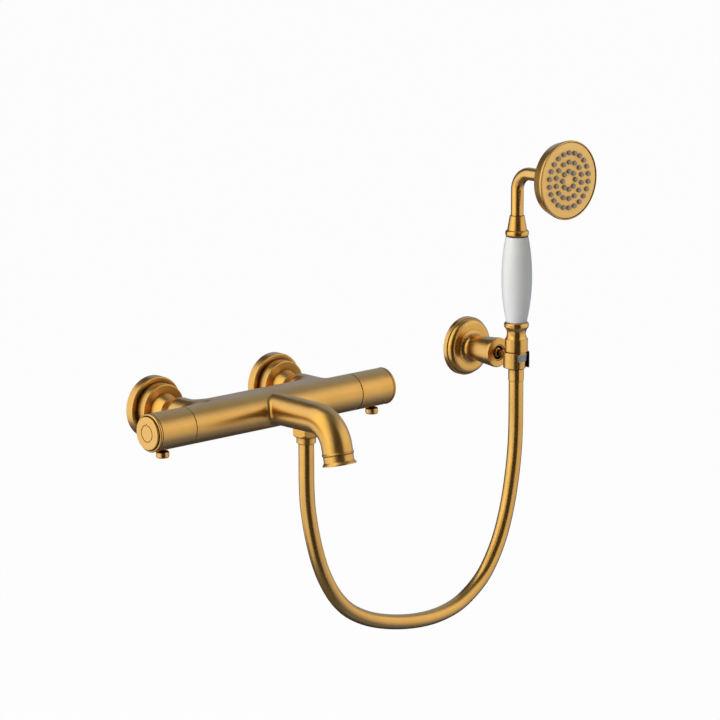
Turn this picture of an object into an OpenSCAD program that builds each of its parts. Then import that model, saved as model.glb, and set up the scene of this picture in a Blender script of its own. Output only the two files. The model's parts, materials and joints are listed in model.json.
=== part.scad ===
// Wall-mounted thermostatic bath shower mixer with a hand shower on a wall bracket.
// Millimetres. X runs along the wall, -Y points out of the wall and Z points up.
// The origin lies on the wall, midway between the two water inlets.

/* [Fits] */
// Clearance on each side of pieces that are pushed or screwed together
fit_gap = 0.1; // [0.05:0.05:0.2]
// Clearance on each side of a shaft that turns in its bore
run_gap = 0.05; // [0.02:0.01:0.1]
// Gap between faces that move past each other
air_gap = 0.4; // [0.3:0.05:0.8]

/* [Wall unions] */
// Distance between the two inlets
inlet_spacing = 150; // [140:1:160]
// Thread diameter of the wall stubs
stub_d = 20.95; // [18:0.05:24]
// Length of the wall stubs behind the wall
stub_len = 15; // [10:1:25]
// How far the wall stubs lie below the inlets
union_offset = 6; // [2:0.5:7]
// Diameter of the shoulder on the wall
shoulder_d = 30; // [28:0.5:34]
// Thickness of that shoulder
shoulder_t = 4; // [3:0.5:5]
// Thread diameter of the union nose
nose_d = 26.4; // [25:0.1:28]
// Length of the union nose in front of the shoulder
nose_len = 5; // [4:0.5:6]
// Water passage through the wall unions
union_bore = 14; // [10:0.5:16]
// Thickness of the flat sealing washers
washer_t = 2; // [1:0.5:3]

/* [Union nuts] */
// Size across the flats of the union nuts
union_nut_flats = 32; // [30:0.5:36]
// Thickness of the lip that pulls on the neck flange
union_nut_lip = 3.5; // [2:0.5:5]

/* [Wall rosettes] */
// Diameter of the wide tier against the wall
rosette_d = 60; // [56:1:70]
// Depth of the wide tier
rosette_rim = 9; // [7:0.5:11]
// Diameter of the narrow tier
rosette_step_d = 49; // [46:1:54]
// Depth of the whole rosette
rosette_depth = 20; // [18.5:0.5:23]
// Sheet thickness of the rosette
rosette_wall = 1.6; // [1:0.1:2]
// Radius on the rosette's edges
rosette_edge = 1.4; // [0.5:0.1:2]
// Base diameter of the conical sleeve in front of the rosette
sleeve_base_d = 32; // [30:0.5:36]
// Length of the conical sleeve
sleeve_len = 10; // [8:0.5:12]

/* [Body] */
// Distance from the wall to the body's axis
body_reach = 84.5; // [82:0.5:95]
// Diameter of the body and of the handles
body_d = 35.6; // [35:0.2:38]
// Length of the body between the handles
body_len = 206; // [202:2:240]
// Diameter of the inlet necks
neck_d = 24.5; // [23.5:0.5:26]
// Diameter of the neck inside its sleeve
neck_tail_d = 22; // [20:0.5:22.5]
// Diameter of the flange at the neck's end
neck_flange_d = 25.6; // [24:0.1:26]
// Thickness of that flange
neck_flange_t = 2.5; // [2:0.5:3]
// Water passage through the necks
neck_bore = 15; // [12:0.5:17]
// Radius of the sweep from neck to body, seen from above
flare_r = 13; // [10:1:14]
// How far the ridge between the necks reaches behind the body's axis
web_depth = 11.5; // [8:0.5:13]
// Diameter of the cartridge chambers
chamber_d = 26; // [25:0.2:27]
// Depth of the cartridge chambers
chamber_depth = 42; // [40:1:46]
// Passage that joins the chambers
gallery_d = 11; // [8:0.5:14]

/* [Spout] */
// How far the spout's root lies below the top of the body
root_drop = 0.3; // [0.2:0.1:1]
// Diameter of the spout along its bend
spout_d = 29; // [27:0.5:29]
// How far the spout's axis lies above the body's axis
spout_lift = 2.3; // [0:0.1:2.4]
// Distance from the wall to the start of the bend
spout_reach = 151.8; // [130:0.2:180]
// Radius of the bend
spout_bend_r = 28; // [27:0.5:45]
// Angle of the bend below level
spout_turn = 77; // [45:1:90]
// Straight length after the bend
spout_tail = 8.5; // [2.5:0.5:10]
// Water passage of the spout
spout_bore = 20; // [15:0.5:21]
// Section of the thin bead at the spout's end
spout_bead = 2; // [1.2:0.1:2.4]
// How far that bead stands proud of the spout
spout_bead_proud = 0.7; // [0.3:0.1:1]

/* [Aerator] */
// Length of the visible collar
aerator_len = 9; // [8:0.5:14]
// Diameter of the collar
aerator_d = 28.6; // [26.8:0.2:29]
// Diameter of the flared lip
aerator_lip_d = 32; // [30:0.2:34]
// Diameter of the thread that enters the spout
aerator_thread_d = 23; // [22:0.2:24]
// Length of that thread
aerator_thread_len = 6.5; // [5:0.5:8]
// Thickness of the aerator's washer
aerator_washer_t = 1.5; // [1:0.5:2]
// Wall around the aerator insert
aerator_wall = 1.5; // [1:0.1:2]
// Spacing of the holes in the insert
jet_pitch = 4; // [3.6:0.2:5]

/* [Handles] */
// Length of a handle from the body to its end
handle_len = 43; // [42:1:50]
// Wall of the handle shell
handle_wall = 2.3; // [2:0.1:2.6]
// Distance from the handle's end to the hub
hub_inset = 13; // [10:0.5:13]
// Thickness of the hub
hub_t = 6; // [5:0.5:7]
// Section of the bead round the handle's end
end_bead = 2.6; // [2:0.1:3]
// How far that bead stands proud of the handle
bead_proud = 0.2; // [0.1:0.1:1]
// Width of the handle's end outside its cap
cap_margin = 2; // [1.8:0.1:3]
// How far the end caps stand out of the handles
cap_proud = 2.2; // [1.8:0.2:6]
// Width of the gap round an end cap
cap_gap = 0.6; // [0.4:0.1:0.8]
// Depth of that gap
cap_dip = 1.2; // [0.6:0.2:1.6]
// Diameter of the engraved ring on the caps
mark_d = 15.6; // [10:0.2:20]
// Width of the engraved line
mark_w = 0.9; // [0.5:0.1:1.5]
// Diameter of the grip pin's neck
pin_neck_d = 6; // [5.5:0.5:7]
// Diameter of the grip pin's head
pin_head_d = 12.4; // [9:0.2:14]
// Height of the grip pin's head
pin_head_h = 6.4; // [5:0.2:8]
// Gap between handle and grip pin's head
pin_lift = 1.2; // [0.8:0.2:4]
// Angle the flow handle turns each way
flow_travel = 90; // [60:5:110]
// Angle the temperature handle turns each way
temperature_travel = 120; // [80:5:130]

/* [Cartridges] */
// Diameter of the spindles
spindle_d = 8; // [6:0.5:9]
// Diameter of the cartridge noses
cartridge_nose_d = 16; // [14:0.5:18]
// Distance the noses stand out of the body
nose_out = 5; // [4.5:0.5:6]
// Length of the nuts that hold the cartridges
ring_nut_len = 5.5; // [4:0.5:7]
// Diameter of the ceramic discs and the regulating sleeve
disc_d = 17.8; // [16:0.2:19]
// Thickness of a ceramic disc
disc_t = 3; // [2:0.5:4]
// Section of the cartridge seals
seal_section = 1.9; // [1.5:0.1:2.2]
// Length of the regulating sleeve
sleeve_slide_len = 12; // [8:1:13]
// Travel of the regulating sleeve each way
sleeve_travel = 0.5; // [0.3:0.1:1]

/* [Shower outlet] */
// Distance of the shower outlet from the middle of the body
outlet_x = 45.5; // [36:0.5:48]
// Diameter of the boss under the body
boss_d = 24; // [23:0.5:27]
// Length of the boss below the body
boss_len = 1.2; // [0.8:0.2:4]
// Diameter of the nipple's thread in the boss
boss_thread_d = 18; // [17:0.2:19]
// Thread of the hose nuts
hose_thread_d = 20.95; // [20:0.05:21.5]
// Length of the outlet nipple below the boss
nipple_len = 8; // [7:0.5:9]
// Water passage of the nipple and the hose ends
hose_way = 9; // [6:0.5:10]
// Size across the flats of the hose nut
hose_nut_flats = 24; // [23.5:0.5:28]
// Length of the hose nut
hose_nut_len = 13; // [12.5:0.5:15]
// Diameter of the hose ferrule's collar
ferrule_d = 18.8; // [17:0.2:20]
// Length of that collar
ferrule_len = 6.5; // [5:0.5:9]

/* [Hose] */
// Diameter of the hose
hose_d = 15; // [12:0.5:15.5]

/* [Bracket] */
// Distance of the bracket from the middle of the mixer
bracket_x = 336; // [300:1:400]
// Height of the bracket above the inlets
bracket_z = -1; // [-40:1:40]
// Diameter of the bracket's rosette
bracket_d = 60; // [54:1:70]
// Thickness of the rosette's back rim
bracket_rim = 5; // [3:0.2:6]
// Depth of the whole rosette
bracket_depth = 11; // [9:0.2:12]
// Diameter of the stem at the rosette
stem_root_d = 24; // [22:0.5:26]
// Diameter of the stem at its end
stem_end_d = 30.4; // [27:0.2:34]
// Distance from the wall to the end of the stem
stem_reach = 50; // [47:1:60]
// Diameter of the recess for the knuckle
recess_d = 17; // [16.5:0.5:19]
// Diameter of the wall plate's boss inside the stem
plate_boss_d = 16; // [13:0.5:17]
// Thickness of the wall plate
plate_t = 2.5; // [2:0.5:3]
// Spacing of the two wall screws
screw_spacing = 34; // [30:1:38]
// Diameter of the wall screws
screw_d = 4; // [3:0.5:4.5]
// Length of the wall screws behind the wall
screw_len = 15; // [12:1:24]
// Diameter of the wall plugs
plug_d = 7; // [6:0.5:8]

/* [Holder] */
// Diameter of the knuckle ball
knuckle_d = 14; // [13:0.5:14.5]
// Distance of the ball's centre behind the end of the stem
knuckle_inset = 6; // [5.5:0.5:7]
// Diameter of the bar between ball and cradle
knuckle_bar_d = 7; // [5:0.5:8]
// Distance from the wall to the handset's axis
handset_reach = 75; // [72:1:95]
// Outer diameter of the cradle ring
cradle_d = 26.6; // [26:0.2:30]
// Height of the cradle ring
cradle_h = 16.4; // [15:0.2:20]
// How far the ring reaches below the bracket's axis
cradle_drop = 11; // [9:0.5:13]
// Width of the slot that the hose passes through
cradle_slot = 16; // [15.8:0.2:18]
// Side clearance between cone nut and cradle
cone_gap = 0.3; // [0.2:0.05:0.4]
// Angle the holder tilts each way
holder_travel = 15; // [5:1:20]

/* [Cone nut] */
// Diameter of the cone nut at the top of the cradle
cone_top_d = 22; // [21:0.2:22.4]
// Diameter of the cone nut above the cradle
nut_d = 23.4; // [22.4:0.2:25]
// Diameter at the cone nut's lower end
cone_low_d = 18.8; // [17.8:0.2:19.2]
// Height of the cone nut above the cradle
cone_rise = 13.4; // [12:0.2:16]
// Depth of the cone nut below the cradle
cone_drop = 0.6; // [0.5:0.1:2]
// Thread diameter inside the cone nut
tail_thread_d = 18.6; // [17.4:0.2:19]
// Height of the plastic band on the cone nut
band_h = 7.6; // [5:0.2:8]
// Distance from the top of the cradle to the band
band_inset = 2; // [1:0.2:4]
// Thickness of the plastic band
band_t = 0.8; // [0.5:0.1:1]
// Diameter of the upper hose ferrule
hose_end_d = 16; // [15.6:0.2:17]
// Length of the upper hose ferrule below the cone nut
hose_end_len = 12.4; // [8:0.2:14]
// Diameter of the swivel neck inside the cone nut
swivel_d = 13.4; // [12:0.2:14]

/* [Handset] */
// Height of the waist above the cone nut
waist_h = 10.4; // [8:0.2:12]
// Diameter of the waist
waist_d = 19.4; // [17:0.2:20]
// Diameter of the lower bead
tail_bead_d = 25.2; // [24:0.2:28]
// Height of the lower bead
tail_bead_h = 6.8; // [6:0.2:9]
// Length of the ceramic handle
ceramic_len = 86.8; // [80:0.2:110]
// Largest diameter of the ceramic handle
ceramic_d = 30.8; // [28:0.2:34]
// Diameter of the ceramic handle at its lower end
ceramic_low_d = 21; // [19:0.2:23]
// Diameter of the ceramic handle at its upper end
ceramic_top_d = 22.8; // [21:0.2:24]
// Diameter of the tube that ties the handset together
tie_d = 10; // [9:0.5:11]
// Wall of that tube
tie_wall = 1.5; // [1:0.1:2]
// Diameter of the upper bead
collar_bead_d = 23.8; // [22:0.2:26]
// Height of the upper bead
collar_bead_h = 7; // [5:0.2:9]
// Height of the cone above the upper bead
collar_h = 14.2; // [12:0.2:18]
// Diameter of the cone at its base
collar_base_d = 20.2; // [17:0.2:21]
// Diameter of the bent pipe
gooseneck_d = 12.8; // [11:0.2:13.4]
// Wall of the bent pipe
gooseneck_wall = 1.4; // [1:0.1:1.8]
// Height from the cone's top to the pipe's level run
gooseneck_rise = 43.8; // [36:0.2:60]
// Bend radius of the pipe
gooseneck_r = 18; // [15:0.5:24]

/* [Shower head] */
// Diameter of the shower head
head_d = 78.4; // [72:0.4:96]
// Distance from the handset's axis to the spray face
head_reach = 72; // [66:1:90]
// Depth of the head's rim
head_rim = 13; // [11:0.2:15]
// Depth of the head behind its rim
head_dome = 10.5; // [10:0.5:18]
// Wall of the head's shell
head_wall = 2; // [1.6:0.1:2.4]
// Thickness of the spray plate
plate_face_t = 2.4; // [2:0.1:3]
// Thickness of the nozzle mat
mat_t = 1.6; // [1:0.1:2]
// Diameter of a nozzle
nozzle_d = 4; // [3:0.1:4.4]
// How far the nozzles stand out of the spray plate
nozzle_proud = 2; // [0.4:0.1:3]

/* [Hidden] */

$fn = 64;
// Overshoot of every cut
cut = 1;
// Overlap of solids that are joined in one piece
join = 0.5;
// Small rounded edges
edge_s = 0.6;
edge_m = 0.8;
edge_l = 1.2;
left = -1;
right = 1;

// Colours
gold = [0.80, 0.60, 0.30];
brass = [0.72, 0.60, 0.36];
steel = [0.70, 0.71, 0.72];
plastic_white = [0.90, 0.90, 0.88];
plastic_grey = [0.58, 0.58, 0.56];
rubber = [0.12, 0.12, 0.12];
ceramic = [0.95, 0.95, 0.94];

// Places along an inlet, measured out of the wall
nose_end = shoulder_t + nose_len;
flange_back = nose_end + washer_t;
flange_front = flange_back + neck_flange_t;
union_nut_front = flange_front + union_nut_lip;
neck_front = rosette_depth + sleeve_len;
// Where the union nut clears the shoulder
union_nut_back = shoulder_t + air_gap;
// The shoulder of a wall union shifts towards the stub, and the two bores overlap in its middle
shoulder_shift = union_offset / 3;
union_mid = shoulder_t / 2;
bore_lap = 0.4;
washer_inset = 0.5;
// Check valves: how far they sit inside the necks, their cage, their plug and their ribs
valve_inset = 3;
valve_len = 12;
valve_wall = 2;
valve_plug_d = neck_bore / 2;
valve_plug_inset = 3;
valve_rib_t = 1.2;
valve_rib_inset = 4;

// Sweep between neck and body: its rings start under the neck's skin, swell, spread towards the body
// and end inside it
flare_sides = 24;
flare_steps = 14;
flare_sink = 0.5;
flare_swell = 3.6;
flare_swell_len = 15;
body_back = body_reach - body_d / 2;
flare_share = 0.82;
flare_bury = 0.22;
flare_splay = 0.4;
flare_spread = body_back - flare_share * flare_r;
flare_end = body_reach - flare_bury * body_d;
flare_margin = 1;
flare_limit = body_len / 2 - inlet_spacing / 2 - flare_margin;
// Ridge behind the body: its rounded ends lie on the necks
web_over = 4;
web_half = inlet_spacing / 2 + web_over;
web_edge_share = 0.24;
web_edge = web_edge_share * body_d;

// Places along the body's axis, measured from the middle of the body
body_half = body_len / 2;
handle_inner = body_half + air_gap;
handle_outer = body_half + handle_len;
hub_outer = handle_outer - hub_inset;
hub_inner = hub_outer - hub_t;
shell_bore = body_d - 2 * handle_wall;
cap_d = body_d - 2 * cap_margin;
cap_step = 1;
cap_spigot_d = cap_d - 2 * cap_step;
cap_recess_d = cap_spigot_d + 2 * fit_gap;
cap_seat = handle_outer - cap_dip;
cap_wall = 2;
cap_edge = 1.2;
mark_depth = 0.4;
mark_floor = handle_outer + cap_proud - mark_depth;
tick_len = 1.6;
// Thin groove beside the end bead
groove_w = 0.7;
groove_depth = 0.5;
groove_place = handle_outer - end_bead - groove_w;
pin_place = (hub_inner + hub_outer) / 2;
pin_shoulder = 1;
pin_shank_d = pin_neck_d - 2 * pin_shoulder;
pin_thread_len = 6;
pin_root = body_d / 2 - pin_thread_len;
pin_foot = body_d / 2 + pin_lift;
pin_edge = 1.6;
chamber_floor = body_half - chamber_depth;
ring_nut_inner = body_half - ring_nut_len - fit_gap;
chamber_sump = 3;
cartridge_floor = chamber_floor + chamber_sump;
cartridge_nose_end = body_half + nose_out;
cartridge_d = chamber_d - 2 * fit_gap;
cavity_d = disc_d + 2 * fit_gap;
cartridge_head = 9;
cavity_end = ring_nut_inner - cartridge_head;
disc_face = cartridge_floor + disc_t;
driver_face = disc_face + run_gap + disc_t;
driver_t = 4;
driver_step = 1;
driver_d = disc_d - 2 * driver_step;
port_share = 0.2;
port_d = port_share * disc_d;
port_place = disc_d / 4;
spindle_short = 1;
spindle_end = hub_outer - spindle_short;
seal_inset = 4;
seal_place = ring_nut_inner - seal_inset;
seal_groove_d = cartridge_d - 2 * seal_section;
stop_t = 4;
stop_start = body_half + air_gap;
stop_bore_wall = 2;
lug_slack = 2;
lug_gap = 1;
lug_outer = shell_bore / 2 - lug_gap;
stop_bore_d = cartridge_nose_d + 2 * fit_gap;
lug_share = 0.47;
lug_depth = lug_share * (lug_outer - stop_bore_d / 2);
lug_overlap = lug_depth - 2 * join;
stop_ring_d = 2 * (lug_outer - lug_depth + join);
handle_screw_d = 4;
handle_screw_head_d = 7.6;
handle_screw_head = 3;
handle_screw_len = 12;
regulator_room = sleeve_travel + air_gap;
regulator_web = 2;
regulator_floor = cartridge_floor + regulator_web;
regulator_start = regulator_floor + regulator_room;
regulator_bore = 10;
regulator_driver = regulator_start + sleeve_slide_len + regulator_room;

// Places on the spout, and the small step where its straight end starts
tail_step = 0.1;
spout_root_d = body_d - 2 * (spout_lift + root_drop);
bend_end_reach = spout_reach + spout_bend_r * sin(spout_turn);
bend_end_z = spout_lift - spout_bend_r * (1 - cos(spout_turn));
spout_bead_share = 0.8;
spout_bead_place = spout_tail - spout_bead_share * spout_bead;
spout_thread_bore = aerator_thread_d + 2 * fit_gap;
aerator_thread_end = spout_tail - aerator_thread_len;
aerator_seat = aerator_thread_end - aerator_washer_t;
aerator_end = spout_tail + aerator_len;
aerator_flare = 2.4;
aerator_lip = 1;
insert_d = aerator_thread_d - 2 * aerator_wall;
insert_ledge = 1.5;
insert_way = insert_d - 2 * insert_ledge;
insert_inset = 1.5;
insert_start = spout_tail + insert_inset;
insert_end = aerator_end - insert_inset;
jet_d = 2.4;
jet_rings = 2;

// Places along the shower outlet, measured down from the body's axis
boss_drop = body_d / 2 + boss_len;
boss_thread_len = 7;
boss_thread_start = boss_drop - boss_thread_len;
nipple_collar_t = 1.5;
nipple_step = 0.5;
nipple_collar_d = boss_d - 2 * nipple_step;
nipple_end = boss_drop + nipple_len;
hose_washer_end = nipple_end + washer_t;
ferrule_flange_t = 2;
ferrule_flange_end = hose_washer_end + ferrule_flange_t;
hose_nut_top = boss_drop + nipple_collar_t + air_gap;
hose_nut_end = hose_nut_top + hose_nut_len;
ferrule_shoulder = 1.5;
hose_neck_d = ferrule_d - 2 * ferrule_shoulder;
// How the hose nut is turned, and how far its lower edges are bevelled
hose_nut_turn = 17;
hose_nut_bevel = 0.94;
ferrule_start = hose_nut_end + fit_gap;
ferrule_end = ferrule_start + ferrule_len;

// Places on the bracket, measured out of the wall
plate_boss_len = 8;
stem_bore_end = bracket_depth + plate_boss_len;
plate_margin = 5;
plate_d = screw_spacing + 2 * plate_margin;
plate_room = 2;
rosette_cavity_d = plate_d + 2 * plate_room;
bracket_face_t = 1.6;
bracket_step = 1.2;
bracket_round = 5.8;
// Hollow curve at the stem's root: its radius, and what it leaves standing
stem_flare = 6;
flare_lap = 0.2;
flare_out = stem_flare + flare_lap;
rosette_cavity = bracket_depth - bracket_face_t;
screw_head_share = 1.75;
screw_head_d = screw_d * screw_head_share;
screw_head_t = 2.2;
plug_short = 2;
stem_rim = 4;
knuckle_reach = stem_reach - knuckle_inset;
seat_floor = 2.5;
seat_back = knuckle_reach - knuckle_d / 2 - seat_floor;
seat_inset = 2;
seat_front = knuckle_reach - seat_inset;
// The ring in front of the ball is wide enough for the ball's cap and for the swing of the bar
retainer_t = 2;
retainer_inset = 0.8;
retainer_front = stem_reach - retainer_inset;
retainer_back = retainer_front - retainer_t;
ball_cap_d = 2 * sqrt(pow(knuckle_d / 2, 2) - pow(retainer_back - knuckle_reach, 2));
bar_swing_d =
    2 * (retainer_back - knuckle_reach) * tan(holder_travel) + knuckle_bar_d / cos(holder_travel);
retainer_bore = max(ball_cap_d, bar_swing_d) + 2 * air_gap;
retainer_mouth = retainer_bore + 2 * retainer_t * tan(holder_travel);
grub_d = 4;
grub_place = bracket_depth + plate_boss_len / 2;

// Heights on the handset's axis
cradle_z0 = bracket_z - cradle_drop;
cradle_z1 = cradle_z0 + cradle_h;
cone_z0 = cradle_z0 - cone_drop;
cone_z1 = cradle_z1 + cone_rise;
nut_z = cradle_z1 + fit_gap;
hose_top_drop = -(cone_z0 - air_gap - hose_end_len);
swivel_len = 16;
cone_lip_z = cone_z0 + swivel_len;
swivel_flange_t = 2.6;
swivel_flange_z = cone_lip_z + air_gap;
upper_washer_z = swivel_flange_z + swivel_flange_t + air_gap;
tail_low_z = upper_washer_z + washer_t;
tail_bead_z = cone_z1 + waist_h;
ceramic_z0 = tail_bead_z + tail_bead_h;
ceramic_z1 = ceramic_z0 + ceramic_len;
collar_z = ceramic_z1 + collar_bead_h;
collar_z1 = collar_z + collar_h;
pipe_z = collar_z1 + gooseneck_rise;
tie_depth = 10;
tie_room = 0.5;
tie_z0 = ceramic_z0 - tie_depth;
tie_z1 = ceramic_z1 + tie_depth;
spigot_len = 6;
spigot_step = 1;
spigot_d = gooseneck_d - 2 * spigot_step;
gooseneck_bore = gooseneck_d - 2 * gooseneck_wall - spigot_step;
// Hollow curve of the waist: its radius, and how far the waist spreads at its ends
waist_arc = 10;
waist_flare = 2;
// Share of a bead's height that is rounded at each edge
bead_round = 0.4;
tail_bead_edge = tail_bead_h * bead_round;
collar_bead_edge = collar_bead_h * bead_round;
collar_step = 1.1;
collar_top_d = gooseneck_d + 2 * collar_step;
cone_slope = (cone_top_d - cone_low_d) / (cradle_z1 - cone_z0);
band_z1 = cradle_z1 - band_inset;
band_z0 = band_z1 - band_h;

// Route of the hose, from the lower ferrule to the upper one, and where its two lengths meet.
// Each place gives the way along the wall, the way towards the wall and the height; the first two
// run from 0 at the outlet to their full span at the holder, and follow both.
hose_sides = 12;
hose_split = 21;
hose_span = 292;
hose_lean = 11;
hose_free = [
    [0, 0, -60], [0, 0, -80], [1, 0, -100], [4, 0, -120], [8.5, 0, -140], [15, 0.5, -160],
    [24, 1, -180], [37, 1.5, -200], [53, 2, -216], [73, 3, -228], [96, 4, -237], [124, 5, -244],
    [153, 6, -248], [181, 7, -248], [207, 8, -243], [228, 9, -233], [245, 9.5, -220],
    [258, 10, -204], [269, 10.5, -185], [277, 11, -165], [282.5, 11, -145], [286.5, 11, -125],
    [289.5, 11, -105], [291.3, 11, -85], [292, 11, -65], [292, 11, -45]
];
function route_place(p) = [
    outlet_x + p[0] / hose_span * (bracket_x - outlet_x),
    -body_reach + p[1] / hose_lean * (body_reach - handset_reach),
    p[2] + p[0] / hose_span * bracket_z
];
hose_route = concat(
    [[outlet_x, -body_reach, -ferrule_end]],
    [for (p = hose_free) route_place(p)],
    [[bracket_x, -handset_reach, -hose_top_drop]]
);

// The ceramic handle's outline is one arc through its two ends and its widest place
ceramic_drop_low = (ceramic_d - ceramic_low_d) / 2;
ceramic_drop_top = (ceramic_d - ceramic_top_d) / 2;
ceramic_share = sqrt(ceramic_drop_low) / (sqrt(ceramic_drop_low) + sqrt(ceramic_drop_top));
ceramic_belly = ceramic_len * ceramic_share;
ceramic_arc = (ceramic_belly * ceramic_belly + ceramic_drop_low * ceramic_drop_low) / (2 * ceramic_drop_low);

// Places on the shower head, measured from the handset's axis
head_back = head_reach - head_rim;
head_neck = head_back - head_dome;
head_neck_d = gooseneck_d + 2 * head_wall;
head_neck_len = 5;
socket_depth = 3;
head_socket = head_neck + socket_depth;
head_back_inset = 5.4;
head_taper = 3.2;
head_band = 2.6;
head_front = head_reach - head_band;
head_front_round = 1;
head_cone_d = head_d - 2 * head_back_inset;
head_cavity_inset = 6;
head_cavity_d = head_cone_d - 2 * head_cavity_inset;
face_inset = 0.6;
face_rim = 1.4;
face_d = head_d - 2 * face_rim;
face_ledge = 3.6;
mat_room = 1;
mat_d = face_d - 2 * face_ledge - 2 * mat_room;
plate_back = head_reach - face_inset - plate_face_t;
mat_back = plate_back - mat_t;
// Rings of nozzles: how many, and at what share of the spray plate's radius; each ring starts at the top
nozzle_rings = [[22, 0.72], [14, 0.476], [8, 0.236]];
nozzle_start = 90;

// Frames
module wall_axis(x, z) translate([x, 0, z]) rotate([90, 0, 0]) children();
module inlet_axis(side) wall_axis(side * inlet_spacing / 2, 0) children();
module end_axis(side)
    translate([0, -body_reach, 0]) mirror([side < 0 ? 1 : 0, 0, 0]) rotate([0, 90, 0]) children();
module outlet_axis() translate([outlet_x, -body_reach, 0]) rotate([180, 0, 0]) children();
module spout_tip()
    translate([0, -bend_end_reach, bend_end_z]) rotate([90 + spout_turn, 0, 0]) children();
module bracket_axis() wall_axis(bracket_x, bracket_z) children();
module handset_axis() translate([bracket_x, -handset_reach, 0]) children();
module head_axis() translate([bracket_x, -handset_reach, pipe_z]) rotate([90, 0, 0]) children();

// Shapes along the local z axis
module rod(d, z0, z1) translate([0, 0, z0]) cylinder(d = d, h = z1 - z0);
module cone(d0, d1, z0, z1) translate([0, 0, z0]) cylinder(d1 = d0, d2 = d1, h = z1 - z0);
module hexagon(flats, z0, z1) translate([0, 0, z0]) cylinder(d = flats / cos(30), h = z1 - z0, $fn = 6);
module pipe(d, bore, z0, z1) difference() {
    rod(d, z0, z1);
    rod(bore, z0 - cut, z1 + cut);
}
// Disc with its two outer edges rounded
module round_disc(d, z0, z1, edge0, edge1) rotate_extrude() {
    translate([0, z0 + edge0]) square([d / 2, z1 - z0 - edge0 - edge1]);
    translate([0, z0]) square([d / 2 - edge0, edge0 + edge1 / 2]);
    translate([0, z1 - edge1 - edge0 / 2]) square([d / 2 - edge1, edge1 + edge0 / 2]);
    if (edge0 > 0) translate([d / 2 - edge0, z0 + edge0]) circle(r = edge0);
    if (edge1 > 0) translate([d / 2 - edge1, z1 - edge1]) circle(r = edge1);
}
// Round bead whose widest diameter is d
module bead(d, section, z) rotate_extrude() translate([d / 2 - section / 2, z]) circle(d = section);
// Part of a ring, centred on the local x axis
module sector(inner, outer, half_angle, z0, z1)
    translate([0, 0, z0]) rotate([0, 0, -half_angle])
        rotate_extrude(angle = 2 * half_angle) translate([inner, 0]) square([outer - inner, z1 - z0]);

// Closed skin over a list of rings that all have the same number of points
module loft(rings) {
    n = len(rings[0]);
    last = len(rings) - 1;
    sides = [for (i = [0:last - 1], k = [0:n - 1]) each [
        [i * n + k, (i + 1) * n + (k + 1) % n, i * n + (k + 1) % n],
        [i * n + k, (i + 1) * n + k, (i + 1) * n + (k + 1) % n]
    ]];
    first_cap = [for (k = [1:n - 2]) [0, k, k + 1]];
    last_cap = [for (k = [1:n - 2]) [last * n, last * n + k + 1, last * n + k]];
    polyhedron(points = [for (ring = rings) each ring], faces = concat(sides, first_cap, last_cap));
}

// Sweep from the round neck to the wide back of the body
function arc_rise(r, run) = r - sqrt(r * r - run * run);
function ease(t) = t * t * (3 - 2 * t);
function flare_high(z) =
    neck_d / 2 - flare_sink + (flare_swell + flare_sink) * ease(min((z - neck_front) / flare_swell_len, 1));
function flare_sweep(z) =
    (z < flare_spread ? 0 : arc_rise(flare_r, min(z, body_back) - flare_spread))
    + (z < body_back ? 0 : flare_splay * (z - body_back));
function flare_wide(z) = min(flare_high(z) + flare_sweep(z), flare_limit);
function flare_ring(z) = [
    for (k = [0:flare_sides - 1])
        [flare_wide(z) * cos(k * 360 / flare_sides), flare_high(z) * sin(k * 360 / flare_sides), z]
];
module neck_flare()
    loft([for (i = [0:flare_steps]) flare_ring(neck_front + (flare_end - neck_front) * i / flare_steps)]);

// Round hose along part of its route; its rings stand square to the route
function unit(v) = v / norm(v);
function route_way(i) =
    unit(hose_route[min(i + 1, len(hose_route) - 1)] - hose_route[max(i - 1, 0)]);
function hose_ring(i) =
    let (way = route_way(i), across = unit(cross([0, 1, 0], way)), up = cross(way, across))
    [for (k = [0:hose_sides - 1])
        hose_route[i] + hose_d / 2 * (cos(k * 360 / hose_sides) * across + sin(k * 360 / hose_sides) * up)];
module hose_length(from, to) loft([for (i = [from:to]) hose_ring(i)]);

// Mixer body: tube, inlet necks, spout and shower outlet in one casting
module neck_solid() {
    rod(neck_d, neck_front, body_reach);
    rod(neck_tail_d, flange_back, neck_front + cut);
    rod(neck_flange_d, flange_back, flange_front);
    neck_flare();
}
module back_web() translate([0, web_depth, 0]) end_axis(right)
    round_disc(body_d, -web_half, web_half, web_edge, web_edge);
module spout_run(root_d, end_d, tail) {
    wall_axis(0, spout_lift) cone(root_d, end_d, body_reach, spout_reach);
    translate([0, -spout_reach, spout_lift - spout_bend_r]) rotate([0, -90, 180])
        rotate_extrude(angle = spout_turn) translate([spout_bend_r, 0]) circle(d = end_d);
    spout_tip() rod(end_d + 2 * tail_step, 0, tail);
    spout_tip() rod(end_d - 2 * join, -cut, cut);
}
module mixer_body() color(gold) difference() {
    union() {
        end_axis(right) rod(body_d, -body_half, body_half);
        for (side = [left, right]) inlet_axis(side) neck_solid();
        back_web();
        spout_run(spout_root_d, spout_d, spout_tail);
        spout_tip() bead(spout_d + 2 * spout_bead_proud, spout_bead, spout_bead_place);
        outlet_axis() rod(boss_d, 0, boss_drop);
    }
    for (side = [left, right]) {
        end_axis(side) rod(chamber_d, chamber_floor, body_half + cut);
        inlet_axis(side) rod(neck_bore, flange_back - cut, body_reach - chamber_d / 2 + cut);
    }
    end_axis(right) rod(gallery_d, -chamber_floor - cut, chamber_floor + cut);
    spout_run(spout_bore, spout_bore, spout_tail + cut);
    spout_tip() rod(spout_thread_bore, aerator_seat, spout_tail + cut);
    outlet_axis() rod(hose_way, 0, boss_drop);
    outlet_axis() rod(boss_thread_d + 2 * fit_gap, boss_thread_start, boss_drop + cut);
}

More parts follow.
